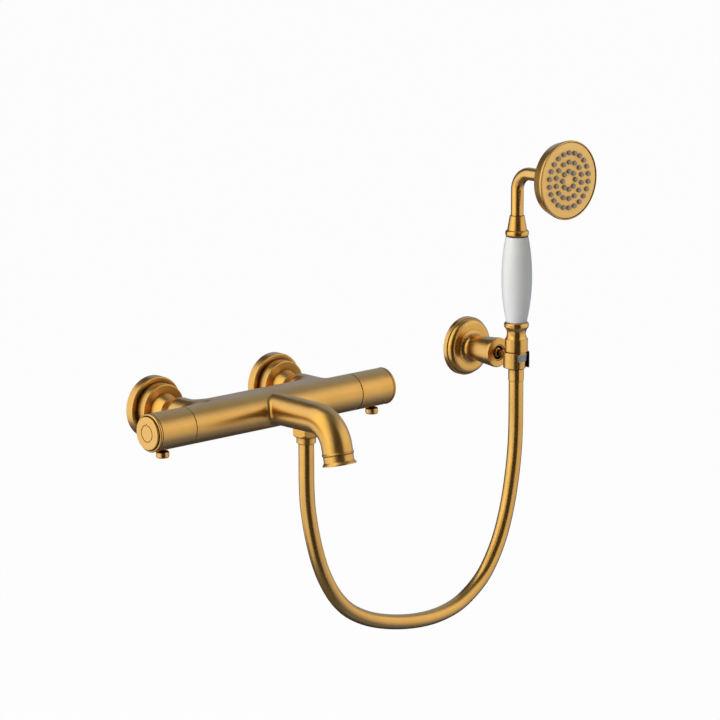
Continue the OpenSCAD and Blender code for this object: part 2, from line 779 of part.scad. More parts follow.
// Eccentric union between the wall pipe and the mixer
module s_union(side) color(brass) inlet_axis(side) difference() {
    union() {
        translate([0, -union_offset, 0]) rod(stub_d, -stub_len, union_mid);
        translate([0, -shoulder_shift, 0]) rod(shoulder_d, 0, shoulder_t);
        rod(nose_d, union_mid, nose_end);
    }
    translate([0, -union_offset, 0]) rod(union_bore, -stub_len - cut, union_mid + bore_lap);
    rod(union_bore, union_mid - bore_lap, nose_end + cut);
}
module left_s_union() s_union(left);
module right_s_union() s_union(right);

module union_nuts() color(brass) for (side = [left, right]) inlet_axis(side) difference() {
    hexagon(union_nut_flats, union_nut_back, union_nut_front);
    rod(nose_d + 2 * fit_gap, union_nut_back - cut, flange_front);
    rod(neck_tail_d + 2 * fit_gap, flange_front - cut, union_nut_front + cut);
}

// Cover against the wall, open at the back, with a hole for the neck
module rosette(side) color(gold) inlet_axis(side) difference() {
    union() {
        round_disc(rosette_d, 0, rosette_rim, 0, rosette_edge);
        round_disc(rosette_step_d, 0, rosette_depth, 0, rosette_edge);
    }
    rod(rosette_d - 2 * rosette_wall, -cut, rosette_rim - rosette_wall);
    rod(rosette_step_d - 2 * rosette_wall, -cut, rosette_depth - rosette_wall);
    rod(neck_tail_d + 2 * fit_gap, 0, rosette_depth + cut);
}
module left_rosette() rosette(left);
module right_rosette() rosette(right);

module neck_sleeves() color(gold) for (side = [left, right]) inlet_axis(side) difference() {
    cone(sleeve_base_d, neck_d, rosette_depth, neck_front);
    rod(neck_tail_d + 2 * fit_gap, rosette_depth - cut, neck_front + cut);
}

module inlet_washers() color(rubber) for (side = [left, right]) inlet_axis(side)
    pipe(neck_flange_d - 2 * washer_inset, neck_bore, nose_end, flange_back);

// Non-return valve in each neck: a plastic cage with a middle plug on three ribs
module check_valve() {
    start = flange_back + valve_inset;
    pipe(neck_bore - 2 * fit_gap, neck_bore - 2 * valve_wall, start, start + valve_len);
    rod(valve_plug_d, start + valve_plug_inset, start + valve_len - valve_plug_inset);
    for (turn = [0:120:240]) rotate([0, 0, turn])
        translate([0, -valve_rib_t / 2, start + valve_rib_inset])
            cube([(neck_bore - valve_wall) / 2, valve_rib_t, valve_len - 2 * valve_rib_inset]);
}
module check_valves() color(plastic_white) for (side = [left, right]) inlet_axis(side) check_valve();

// Cartridge shell with its nose, shaft bore, inner cavity and seal groove
module cartridge_shell(cavity_start) difference() {
    union() {
        rod(cartridge_d, cartridge_floor, ring_nut_inner);
        rod(cartridge_nose_d, ring_nut_inner - cut, cartridge_nose_end);
    }
    rod(cavity_d, cavity_start, cavity_end);
    rod(spindle_d + 2 * run_gap, cavity_end - cut, cartridge_nose_end + cut);
    translate([0, 0, seal_place - seal_section / 2 - fit_gap]) difference() {
        rod(chamber_d + cut, 0, seal_section + 2 * fit_gap);
        rod(seal_groove_d - fit_gap, -cut, seal_section + cut);
    }
}
module ring_nut() pipe(cartridge_d, cartridge_nose_d + 2 * fit_gap, ring_nut_inner, body_half - fit_gap);

// Spindle with a driving flange at its inner end and a tapped hole at its outer end
module spindle(driver_start) difference() {
    union() {
        rod(driver_d, driver_start, driver_start + driver_t);
        rod(spindle_d, driver_start, spindle_end);
    }
    rod(handle_screw_d, spindle_end - handle_screw_len, spindle_end + cut);
}

// Ring on the cartridge nose whose lug stops the handle
function lug_half(travel) = (180 - travel - lug_slack) / 2;
module stop_ring(travel) {
    pipe(stop_ring_d, stop_bore_d, stop_start, stop_start + stop_t);
    rotate([0, 0, 180])
        sector(stop_ring_d / 2 - stop_bore_wall, lug_outer, lug_half(travel), stop_start, stop_start + stop_t);
}

// Handle shell with its hub, the rib that meets the stop and the bead at its end
module handle_shell(travel) difference() {
    union() {
        pipe(body_d, shell_bore, handle_inner, hub_inner + cut);
        rod(body_d, hub_inner, handle_outer - end_bead / 2);
        bead(body_d + 2 * bead_proud, end_bead, handle_outer - end_bead / 2);
        rod(body_d - end_bead, handle_outer - end_bead, handle_outer);
        sector(lug_outer - lug_overlap, shell_bore / 2 + join, lug_half(travel), stop_start, hub_inner + cut);
    }
    rod(cap_recess_d, hub_outer, handle_outer + cut);
    rod(cap_d + 2 * cap_gap, cap_seat, handle_outer + cut);
    rod(spindle_d + 2 * fit_gap, hub_inner - cut, hub_outer + cut);
    translate([pin_root, 0, pin_place]) rotate([0, 90, 0]) rod(pin_shank_d + 2 * fit_gap, 0, body_d);
    difference() {
        rod(body_d + cut, groove_place, groove_place + groove_w);
        rod(body_d - 2 * groove_depth, groove_place - cut, groove_place + groove_w + cut);
    }
}

// End cap with a spigot, a plain engraved ring and a tick at its top
module handle_cap() difference() {
    union() {
        rod(cap_spigot_d, hub_outer + handle_screw_head + cut, cap_seat + join);
        round_disc(cap_d, cap_seat, handle_outer + cap_proud, 0, cap_edge);
    }
    rod(cap_spigot_d - 2 * cap_wall, hub_outer, cap_seat);
    pipe(mark_d + mark_w, mark_d - mark_w, mark_floor, mark_floor + cut);
    translate([-mark_d / 2 - tick_len, -mark_w / 2, mark_floor]) cube([tick_len, mark_w, cut]);
}

// Knob under the handle, screwed into the hub
module grip_pin() translate([0, 0, pin_place]) rotate([0, 90, 0]) {
    rod(pin_shank_d, pin_root, body_d / 2 + join);
    rod(pin_neck_d, body_d / 2 + fit_gap, pin_foot + join);
    round_disc(pin_head_d, pin_foot, pin_foot + pin_head_h, pin_edge, pin_edge);
}

module handle_screw() {
    rod(handle_screw_d - 2 * fit_gap, spindle_end - handle_screw_len + cut, hub_outer + join);
    rod(handle_screw_head_d, hub_outer, hub_outer + handle_screw_head);
}

// Flow side, on the left: a ceramic disc valve that also diverts to the spout or the shower
module flow_cartridge() color(plastic_white) end_axis(left) cartridge_shell(cartridge_floor - cut);
module flow_fixed_disc() color(ceramic) end_axis(left) difference() {
    rod(disc_d, cartridge_floor, disc_face);
    for (turn = [0, 180]) rotate([0, 0, turn]) translate([port_place, 0, 0])
        rod(port_d, cartridge_floor - cut, disc_face + cut);
}
module flow_moving_disc() color(ceramic) end_axis(left) difference() {
    rod(disc_d - 2 * air_gap, disc_face + run_gap, driver_face);
    translate([port_place, 0, 0]) rod(port_d, disc_face - cut, driver_face + cut);
}
module flow_spindle() color(brass) end_axis(left) spindle(driver_face);
module flow_cartridge_nut() color(brass) end_axis(left) ring_nut();
module flow_stop_ring() color(plastic_grey) end_axis(left) stop_ring(flow_travel);
module flow_handle() color(gold) end_axis(left) handle_shell(flow_travel);
module flow_cap() color(gold) end_axis(left) handle_cap();
module flow_grip_pin() color(gold) end_axis(left) grip_pin();
module flow_screw() color(steel) end_axis(left) handle_screw();

// Temperature side, on the right: a regulating sleeve that the spindle moves along the axis
module thermostat_cartridge() color(plastic_white) end_axis(right) cartridge_shell(regulator_floor);
module thermostat_sleeve() color(brass) end_axis(right)
    pipe(cavity_d - 2 * run_gap, regulator_bore, regulator_start, regulator_start + sleeve_slide_len);
module thermostat_spindle() color(brass) end_axis(right) spindle(regulator_driver);
module thermostat_nut() color(brass) end_axis(right) ring_nut();
module temperature_stop_ring() color(plastic_grey) end_axis(right) stop_ring(temperature_travel);
module temperature_handle() color(gold) end_axis(right) handle_shell(temperature_travel);
module temperature_cap() color(gold) end_axis(right) handle_cap();
module temperature_grip_pin() color(gold) end_axis(right) grip_pin();
module temperature_screw() color(steel) end_axis(right) handle_screw();

module cartridge_seals() color(rubber) for (side = [left, right]) end_axis(side)
    bead(cartridge_d, seal_section, seal_place);

// Aerator: collar with a flared lip, screwed into the spout
module aerator_housing() color(gold) spout_tip() difference() {
    union() {
        rod(aerator_thread_d, aerator_thread_end, spout_tail + cut);
        rod(aerator_d, spout_tail, aerator_end);
        cone(aerator_d, aerator_lip_d, aerator_end - aerator_lip - aerator_flare, aerator_end - aerator_lip);
        rod(aerator_lip_d, aerator_end - aerator_lip, aerator_end);
    }
    rod(insert_way, aerator_thread_end - cut, aerator_end + cut);
    rod(insert_d, insert_start, aerator_end + cut);
}
module aerator_insert() color(plastic_grey) spout_tip() difference() {
    rod(insert_d - 2 * fit_gap, insert_start, insert_end);
    rod(jet_d, insert_start - cut, insert_end + cut);
    for (ring = [1:jet_rings], k = [0:6 * ring - 1]) rotate([0, 0, 60 * k / ring])
        translate([ring * jet_pitch, 0, 0]) rod(jet_d, insert_start - cut, insert_end + cut);
}
module aerator_washer() color(rubber) spout_tip()
    pipe(aerator_thread_d, insert_way, aerator_seat, aerator_thread_end);

// Shower outlet and the lower end of the hose
module shower_outlet_nipple() color(brass) outlet_axis() difference() {
    union() {
        rod(boss_thread_d, boss_thread_start, boss_drop + cut);
        rod(nipple_collar_d, boss_drop, boss_drop + nipple_collar_t);
        rod(hose_thread_d, boss_drop, nipple_end);
    }
    rod(hose_way, boss_thread_start - cut, nipple_end + cut);
}
module hose_lower_washer() color(rubber) outlet_axis()
    pipe(hose_thread_d - 2 * washer_inset, hose_way, nipple_end, hose_washer_end);
module hose_hex_nut() color(gold) outlet_axis() difference() {
    intersection() {
        rotate([0, 0, hose_nut_turn]) hexagon(hose_nut_flats, hose_nut_top, hose_nut_end);
        cone(2 * hose_nut_flats, hose_nut_flats * hose_nut_bevel, hose_nut_top - cut, hose_nut_end);
    }
    rod(hose_thread_d + 2 * fit_gap, hose_nut_top - cut, ferrule_flange_end);
    rod(hose_neck_d + 2 * fit_gap, ferrule_flange_end - cut, hose_nut_end + cut);
}
module hose_lower_ferrule() color(gold) outlet_axis() difference() {
    union() {
        rod(hose_thread_d - 2 * fit_gap, hose_washer_end, ferrule_flange_end);
        rod(hose_neck_d, hose_washer_end, ferrule_start + cut);
        round_disc(ferrule_d, ferrule_start, ferrule_end, edge_s, edge_m);
    }
    rod(hose_way, hose_washer_end - cut, ferrule_end + cut);
}

// The hose in two lengths that meet face to face
module hose_main() color(gold) hose_length(0, hose_split);
module hose_upper() color(gold) hose_length(hose_split, len(hose_route) - 1);

// Upper end of the hose: a ferrule on which the cone nut swivels
module hose_upper_ferrule() color(gold) handset_axis() difference() {
    union() {
        round_disc(hose_end_d, -hose_top_drop, cone_z0 - air_gap, edge_s, edge_s);
        rod(swivel_d, cone_z0 - air_gap - cut, swivel_flange_z + swivel_flange_t);
        rod(tail_thread_d - 2 * washer_inset, swivel_flange_z, swivel_flange_z + swivel_flange_t);
    }
    rod(hose_way, -hose_top_drop - cut, swivel_flange_z + swivel_flange_t + cut);
}

// Bracket: wall plate, its screws and plugs, rosette and stem
module screw_places() for (side = [-1, 1]) translate([0, side * screw_spacing / 2, 0]) children();
module bracket_wall_plate() color(steel) bracket_axis() difference() {
    union() {
        rod(plate_d, 0, plate_t);
        rod(plate_boss_d, 0, stem_bore_end - fit_gap);
    }
    screw_places() rod(screw_d + 2 * fit_gap, -cut, plate_t + cut);
}
module bracket_screws() color(steel) bracket_axis() screw_places() {
    rod(screw_d, -screw_len, plate_t + join);
    rod(screw_head_d, plate_t, plate_t + screw_head_t);
}
module bracket_wall_plugs() color(plastic_grey) bracket_axis() screw_places()
    pipe(plug_d, screw_d + 2 * fit_gap, plug_short - screw_len, 0);
module bracket_rosette() color(gold) bracket_axis() difference() {
    union() {
        round_disc(bracket_d, 0, bracket_rim, 0, edge_m);
        round_disc(bracket_d - 2 * bracket_step, 0, bracket_depth, 0, bracket_round);
    }
    rod(rosette_cavity_d, -cut, rosette_cavity);
    rod(plate_boss_d + 2 * fit_gap, 0, bracket_depth + cut);
}
module bracket_stem() color(gold) bracket_axis() difference() {
    union() {
        cone(stem_root_d, stem_end_d, bracket_depth, stem_reach - stem_rim / 2);
        difference() {
            rod(stem_root_d + 2 * stem_flare, bracket_depth, bracket_depth + stem_flare);
            rotate_extrude() translate([stem_root_d / 2 + flare_out, bracket_depth + flare_out])
                circle(r = stem_flare);
        }
        round_disc(stem_end_d, stem_reach - stem_rim, stem_reach, edge_s, edge_l);
    }
    rod(plate_boss_d + 2 * fit_gap, bracket_depth - cut, stem_bore_end);
    rod(recess_d, seat_back, stem_reach + cut);
    translate([0, 0, grub_place]) rotate([90, 0, 0]) rod(grub_d + 2 * fit_gap, 0, stem_end_d);
}
module bracket_grub_screw() color(steel) bracket_axis() translate([0, 0, grub_place]) rotate([90, 0, 0])
    rod(grub_d, plate_boss_d / 2, stem_root_d / 2);

// Friction seat behind the ball and ring in front of it
module knuckle_seat() color(plastic_grey) bracket_axis() difference() {
    rod(recess_d - 2 * fit_gap, seat_back, seat_front);
    translate([0, 0, knuckle_reach]) sphere(d = knuckle_d + 2 * run_gap);
}
module knuckle_retainer() color(gold) bracket_axis() difference() {
    rod(recess_d - 2 * fit_gap, retainer_back, retainer_front);
    rod(retainer_bore, retainer_back - cut, retainer_front + cut);
    cone(retainer_bore, retainer_mouth, retainer_back, retainer_front);
}

// Holder: ball, bar and slotted cradle ring in one piece
module holder_cradle() color(gold) difference() {
    union() {
        bracket_axis() translate([0, 0, knuckle_reach]) sphere(d = knuckle_d);
        bracket_axis() rod(knuckle_bar_d, knuckle_reach, handset_reach - cradle_d / 2 + 2 * join);
        handset_axis() round_disc(cradle_d, cradle_z0, cradle_z1, edge_m, edge_m);
    }
    handset_axis() {
        cone(cone_low_d + 2 * cone_gap - cone_slope * cut, cone_top_d + 2 * cone_gap + cone_slope * cut,
            cone_z0 - cut, cradle_z1 + cut);
        translate([-cradle_slot / 2, -cradle_d, cradle_z0 - cut])
            cube([cradle_slot, cradle_d, cradle_h + 2 * cut]);
    }
}

// Cone nut that joins hose and handset and rests in the cradle
function cone_d(z) = cone_low_d + cone_slope * (z - cone_z0);
module cone_nut() color(gold) handset_axis() difference() {
    union() {
        cone(cone_low_d, cone_top_d, cone_z0, cradle_z1);
        rod(cone_top_d, cradle_z1, nut_z + edge_s + join);
        round_disc(nut_d, nut_z, cone_z1, edge_s, edge_s);
    }
    rod(swivel_d + 2 * run_gap, cone_z0 - cut, cone_lip_z + cut);
    rod(tail_thread_d + 2 * fit_gap, cone_lip_z, cone_z1 + cut);
    difference() {
        rod(cone_top_d + cut, band_z0, band_z1);
        cone(cone_d(band_z0) - 2 * band_t, cone_d(band_z1) - 2 * band_t, band_z0, band_z1);
    }
}
module cone_band() color(plastic_grey) handset_axis() difference() {
    cone(cone_d(band_z0), cone_d(band_z1), band_z0, band_z1);
    cone(cone_d(band_z0) - 2 * band_t, cone_d(band_z1) - 2 * band_t, band_z0, band_z1);
}
module hose_upper_washer() color(rubber) handset_axis()
    pipe(tail_thread_d - 2 * washer_inset, hose_way, upper_washer_z, tail_low_z);

// Lower fitting of the handset: thread, waist and bead
module handset_tail() color(gold) handset_axis() difference() {
    union() {
        rod(tail_thread_d, tail_low_z, cone_z1 + cut);
        difference() {
            rod(waist_d + 2 * waist_flare, cone_z1, tail_bead_z + tail_bead_h / 2);
            rotate_extrude() translate([waist_d / 2 + waist_arc, cone_z1 + waist_h / 2])
                circle(r = waist_arc);
        }
        round_disc(tail_bead_d, tail_bead_z, ceramic_z0, tail_bead_edge, tail_bead_edge);
    }
    rod(hose_way, tail_low_z - cut, ceramic_z0);
    rod(tie_d + 2 * fit_gap, tie_z0, ceramic_z0 + cut);
}
module ceramic_handle() color(ceramic) handset_axis() difference() {
    rotate_extrude() intersection() {
        translate([ceramic_d / 2 - ceramic_arc, ceramic_z0 + ceramic_belly])
            circle(r = ceramic_arc, $fn = 720);
        translate([0, ceramic_z0]) square([ceramic_d, ceramic_len]);
    }
    rod(tie_d + 2 * tie_room, ceramic_z0 - cut, ceramic_z1 + cut);
}
module handle_tie_tube() color(brass) handset_axis() pipe(tie_d, tie_d - 2 * tie_wall, tie_z0, tie_z1);

// Upper fitting of the handset: bead and cone
module upper_collar() color(gold) handset_axis() difference() {
    union() {
        round_disc(collar_bead_d, ceramic_z1, collar_z, collar_bead_edge, collar_bead_edge);
        cone(collar_base_d, collar_top_d, collar_z - cut, collar_z1);
    }
    rod(tie_d + 2 * fit_gap, ceramic_z1 - cut, tie_z1);
    rod(tie_d - 2 * tie_wall, ceramic_z1, collar_z1);
    rod(spigot_d + 2 * fit_gap, collar_z1 - spigot_len, collar_z1 + cut);
}

// Bent pipe from the collar to the shower head
module pipe_run(d, start, end) {
    handset_axis() rod(d, start, pipe_z - gooseneck_r);
    translate([bracket_x, -handset_reach - gooseneck_r, pipe_z - gooseneck_r]) rotate([0, -90, 180])
        rotate([0, 0, -90]) rotate_extrude(angle = 90) translate([gooseneck_r, 0]) circle(d = d);
    head_axis() rod(d, gooseneck_r, end);
}
module gooseneck() color(gold) difference() {
    union() {
        pipe_run(gooseneck_d, collar_z1, head_socket);
        handset_axis() rod(spigot_d, collar_z1 - spigot_len, collar_z1 + cut);
    }
    pipe_run(gooseneck_bore, collar_z1 - spigot_len - cut, head_socket + cut);
}

// Shower head: a shell with a conical back, a spray plate and a mat with nozzles
module head_shell() color(gold) head_axis() difference() {
    union() {
        rod(head_neck_d, head_neck - head_neck_len, head_neck + cut);
        cone(head_neck_d, head_cone_d, head_neck, head_back + join);
        cone(head_d - 2 * head_taper, head_d, head_back, head_front);
        round_disc(head_d, head_front, head_reach, 0, head_front_round);
    }
    rod(gooseneck_d + 2 * fit_gap, head_neck - head_neck_len - cut, head_socket);
    rod(gooseneck_bore, head_neck, head_back);
    cone(gooseneck_d, head_cavity_d, head_neck + 2 * head_wall, head_back + head_wall);
    rod(face_d - 2 * face_ledge, head_back + head_wall - join, head_reach + cut);
    rod(face_d + 2 * fit_gap, plate_back, head_reach + cut);
}
module nozzle_places() for (ring = nozzle_rings, k = [0:ring[0] - 1])
    rotate([0, 0, nozzle_start + 360 * k / ring[0]])
        translate([ring[1] * face_d / 2, 0, 0]) children();
module spray_plate() color(gold) head_axis() difference() {
    round_disc(face_d, plate_back, plate_back + plate_face_t, 0, edge_m);
    nozzle_places() rod(nozzle_d + 2 * fit_gap, plate_back - cut, head_reach + cut);
}
module nozzle_mat() color(plastic_grey) head_axis() {
    rod(mat_d, mat_back, plate_back);
    nozzle_places() rod(nozzle_d, mat_back, plate_back + plate_face_t + nozzle_proud);
}

mixer_body();
left_s_union();
right_s_union();
union_nuts();
left_rosette();
right_rosette();
neck_sleeves();
inlet_washers();
check_valves();
flow_cartridge();
flow_fixed_disc();
flow_moving_disc();
flow_spindle();
flow_cartridge_nut();
flow_stop_ring();
flow_handle();
flow_cap();
flow_grip_pin();
flow_screw();
thermostat_cartridge();
thermostat_sleeve();
thermostat_spindle();
thermostat_nut();
temperature_stop_ring();
temperature_handle();
temperature_cap();
temperature_grip_pin();
temperature_screw();
cartridge_seals();
aerator_housing();
aerator_insert();
aerator_washer();
shower_outlet_nipple();
hose_lower_washer();
hose_hex_nut();
hose_lower_ferrule();
hose_main();
hose_upper();
hose_upper_ferrule();
bracket_wall_plate();
bracket_screws();
bracket_wall_plugs();
bracket_rosette();
bracket_stem();
bracket_grub_screw();
knuckle_seat();
knuckle_retainer();
holder_cradle();
cone_nut();
cone_band();
hose_upper_washer();
handset_tail();
ceramic_handle();
handle_tie_tube();
upper_collar();
gooseneck();
head_shell();
spray_plate();
nozzle_mat();
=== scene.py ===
"""Look of the wall-mounted bath shower mixer: camera, hose, smooth casting, materials and studio."""
import json
import math

import bpy
import numpy as np
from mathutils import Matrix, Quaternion, Vector


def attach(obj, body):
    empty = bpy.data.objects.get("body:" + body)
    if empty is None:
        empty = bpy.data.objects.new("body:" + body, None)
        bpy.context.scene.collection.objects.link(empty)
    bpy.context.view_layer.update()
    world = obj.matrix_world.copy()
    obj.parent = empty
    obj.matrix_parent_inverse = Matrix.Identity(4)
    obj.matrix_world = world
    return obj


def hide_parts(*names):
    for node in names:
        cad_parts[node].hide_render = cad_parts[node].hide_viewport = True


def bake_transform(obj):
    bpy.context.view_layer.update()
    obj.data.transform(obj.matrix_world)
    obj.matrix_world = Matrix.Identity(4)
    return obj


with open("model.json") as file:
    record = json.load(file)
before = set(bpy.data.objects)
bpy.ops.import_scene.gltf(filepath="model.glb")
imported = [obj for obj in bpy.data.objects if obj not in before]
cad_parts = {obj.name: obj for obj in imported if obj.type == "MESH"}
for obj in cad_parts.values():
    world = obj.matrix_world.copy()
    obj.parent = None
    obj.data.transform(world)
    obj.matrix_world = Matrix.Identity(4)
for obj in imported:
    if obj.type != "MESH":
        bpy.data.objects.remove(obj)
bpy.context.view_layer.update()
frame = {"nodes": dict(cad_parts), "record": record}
nodes = frame["nodes"]
scene = bpy.context.scene
scene.view_settings.view_transform = "Standard"
MM = 0.001


# Camera: a long lens, to the left of the front and a little above, as fitted to the photograph
AZIMUTH, ELEVATION, ROLL = math.radians(41.95), math.radians(13.05), math.radians(-0.26)
SENSOR, LENS, DISTANCE = 36, 171.34, 3.327
SHIFT_X, SHIFT_Y = 0.018, 0.0631
AIM = Vector((0.120, -0.060, -0.020))
TO_CAMERA = Vector((
    -math.sin(AZIMUTH) * math.cos(ELEVATION),
    -math.cos(AZIMUTH) * math.cos(ELEVATION),
    math.sin(ELEVATION),
))
camera = bpy.data.objects.new("camera", bpy.data.cameras.new("camera"))
scene.collection.objects.link(camera)
scene.camera = camera
camera.data.sensor_width, camera.data.lens = SENSOR, LENS
camera.data.shift_x, camera.data.shift_y = SHIFT_X, SHIFT_Y
camera.data.clip_start, camera.data.clip_end = 0.05, 100
camera.location = AIM + TO_CAMERA * DISTANCE
camera.rotation_mode = "QUATERNION"
camera.rotation_quaternion = (-TO_CAMERA).to_track_quat("-Z", "Y") @ Quaternion((0, 0, 1), ROLL)


# Mesh helpers
def mesh_object(name, points, faces, normals=None):
    """Smooth-shaded object, with its own normals where they are given."""
    mesh = bpy.data.meshes.new(name)
    mesh.from_pydata([tuple(p) for p in points], [], [tuple(f) for f in faces])
    mesh.update()
    mesh.polygons.foreach_set("use_smooth", [True] * len(mesh.polygons))
    if normals is not None:
        mesh.normals_split_custom_set_from_vertices([tuple(n) for n in normals])
    obj = bpy.data.objects.new(name, mesh)
    scene.collection.objects.link(obj)
    return obj


def spline(points, per_span):
    """Smooth curve through the points."""
    p = np.vstack([2 * points[0] - points[1], points, 2 * points[-1] - points[-2]])
    out = []
    for i in range(1, len(p) - 2):
        for t in np.arange(per_span) / per_span:
            a, b, c, d = p[i - 1], p[i], p[i + 1], p[i + 2]
            out.append(0.5 * (
                2 * b + (c - a) * t + (2 * a - 5 * b + 4 * c - d) * t ** 2
                + (3 * b - a - 3 * c + d) * t ** 3
            ))
    out.append(points[-1])
    return np.array(out)


def tube(name, path, radius, sides=32):
    """Round closed tube along a path."""
    way = np.gradient(path, axis=0)
    way /= np.linalg.norm(way, axis=1)[:, None]
    across = np.cross((0.0, 1.0, 0.0), way)
    across /= np.linalg.norm(across, axis=1)[:, None]
    up = np.cross(way, across)
    turn = np.arange(sides) * 2 * math.pi / sides
    ring = np.cos(turn)[None, :, None] * across[:, None] + np.sin(turn)[None, :, None] * up[:, None]
    skin = (path[:, None] + radius * ring).reshape(-1, 3)
    points = np.vstack([skin, skin[:sides], skin[-sides:]])
    normals = np.vstack([ring.reshape(-1, 3), np.tile(-way[0], (sides, 1)), np.tile(way[-1], (sides, 1))])
    faces = []
    for i in range(len(path) - 1):
        for k in range(sides):
            n = (k + 1) % sides
            faces.append((i * sides + k, i * sides + n, (i + 1) * sides + n, (i + 1) * sides + k))
    first = len(skin)
    faces.append(tuple(range(first, first + sides))[::-1])
    faces.append(tuple(range(first + sides, first + 2 * sides)))
    return mesh_object(name, points, faces, normals)


# Hose: the route of the part's source, in millimetres, made smooth
HOSE_D = 15
HOSE_SPLIT, PER_SPAN = 21, 8
HOSE_START_Z, HOSE_END_Z = -40.5, -25.4
HOSE_FREE = [
    (0, 0, -60), (0, 0, -80), (1, 0, -100), (4, 0, -120), (8.5, 0, -140), (15, 0.5, -160),
    (24, 1, -180), (37, 1.5, -200), (53, 2, -216), (73, 3, -228), (96, 4, -237), (124, 5, -244),
    (153, 6, -248), (181, 7, -248), (207, 8, -243), (228, 9, -233), (245, 9.5, -220),
    (258, 10, -204), (269, 10.5, -185), (277, 11, -165), (282.5, 11, -145), (286.5, 11, -125),
    (289.5, 11, -105), (291.3, 11, -85), (292, 11, -65), (292, 11, -45),
]
HOSE_SPAN, HOSE_DRIFT = 292, 11
OUTLET_X, OUTLET_Y, HANDSET_X, HANDSET_Y = 45.5, -84.5, 336, -75
SPAN_SCALE = (HANDSET_X - OUTLET_X) / HOSE_SPAN
DRIFT_SCALE = (HANDSET_Y - OUTLET_Y) / HOSE_DRIFT
route = [(OUTLET_X, OUTLET_Y, HOSE_START_Z)]
route += [
    (OUTLET_X + x * SPAN_SCALE, OUTLET_Y + y * DRIFT_SCALE, z - x / HOSE_SPAN) for x, y, z in HOSE_FREE
]
route += [(HANDSET_X, HANDSET_Y, HOSE_END_Z)]
hose_line = spline(np.array(route, float), PER_SPAN) * MM
main_line = hose_line[:HOSE_SPLIT * PER_SPAN + 1]
upper_line = hose_line[HOSE_SPLIT * PER_SPAN:]


hose_main = tube("hose_sheath_main", main_line, HOSE_D * MM / 2)
hose_upper = tube("hose_sheath_upper", upper_line, HOSE_D * MM / 2)
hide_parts("hose_main")
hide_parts("hose_upper")
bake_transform(hose_main)
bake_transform(hose_upper)


# Casting: body, necks, spout and outlet boss flow into each other, as a distance in millimetres
def fillet(a, b, r):
    """Union with a round fillet of radius r."""
    return np.maximum(r, np.minimum(a, b)) - np.hypot(np.maximum(r - a, 0), np.maximum(r - b, 0))


def capped(radial, axial, edge):
    """Solid of revolution whose end edges are rounded."""
    a, b = radial + edge, axial + edge
    return np.minimum(np.maximum(a, b), 0) + np.hypot(np.maximum(a, 0), np.maximum(b, 0)) - edge


def apart(first_r, second_r, z):
    """How far two crossing round solids face apart: 1 at their sides, near 0 where both face up or down."""
    return 1 + LEAST_APART - np.minimum(z ** 2 / np.maximum(first_r * second_r, 1.0), 1.0)


LEAST_APART = 0.02
BODY_R, BODY_HALF, BODY_EDGE, REACH = 17.8, 103.0, 0.4, 84.5
WEB_HALF, WEB_BACK = 64.0, 73.0
NECK_R, NECK_X, NECK_FRONT, NECK_END = 12.25, 75.0, 29.0, 76.0
NECK_EDGE, NECK_FILLET = 0.2, 14.0
SWELL, SWELL_START, SWELL_LEN = 3.6, 30.0, 15.0
SPOUT_ROOT_R, SPOUT_R, SPOUT_LIFT, SPOUT_REACH = 15.2, 14.5, 2.3, 151.8
PINCH, PINCH_END, PINCH_LEN = 2.5, 100.0, 14.0
BEND_R, BEND, SPOUT_FILLET = 28.0, math.radians(77), 4.0
TAIL, TAIL_LAP, TAIL_EDGE = 8.5, 1.0, 0.3
RING_R, RING_SINK, RING_BACK = 1.0, 0.3, 1.6
BOSS_R, BOSS_TOP, BOSS_END, BOSS_FILLET = 12.0, -8.0, -19.0, 1.5
TIP_OUT = SPOUT_REACH + BEND_R * math.sin(BEND)
TIP_FALL = BEND_R * (1 - math.cos(BEND))


def spout_shape(x, out, z):
    """Spout, and the thin ring near its end, with z counted from the spout's own axis."""
    along = np.clip((out - REACH) / (SPOUT_REACH - REACH), 0, 1)
    pinch = PINCH * np.clip((PINCH_END - out) / PINCH_LEN, 0, 1) ** 2
    taper = SPOUT_ROOT_R + (SPOUT_R - SPOUT_ROOT_R) * along - pinch
    run = capped(np.hypot(x, z) - taper, np.maximum(REACH - out, out - SPOUT_REACH), 0.0)
    angle = np.clip(np.arctan2(out - SPOUT_REACH, z + BEND_R), 0, BEND)
    bend_out = SPOUT_REACH + BEND_R * np.sin(angle)
    bend_z = -BEND_R + BEND_R * np.cos(angle)
    bend = np.sqrt(x ** 2 + (out - bend_out) ** 2 + (z - bend_z) ** 2) - SPOUT_R
    tip_along = (out - TIP_OUT) * math.cos(BEND) - (z + TIP_FALL) * math.sin(BEND)
    tip_up = (out - TIP_OUT) * math.sin(BEND) + (z + TIP_FALL) * math.cos(BEND)
    tip_r = np.hypot(x, tip_up)
    tail = capped(tip_r - SPOUT_R, np.maximum(-tip_along - TAIL_LAP, tip_along - TAIL), TAIL_EDGE)
    bend = np.maximum(bend, tip_along - TAIL)
    ring = np.hypot(tip_r - SPOUT_R + RING_SINK, tip_along - TAIL + RING_BACK) - RING_R
    return np.minimum(np.minimum(run, bend), tail), ring


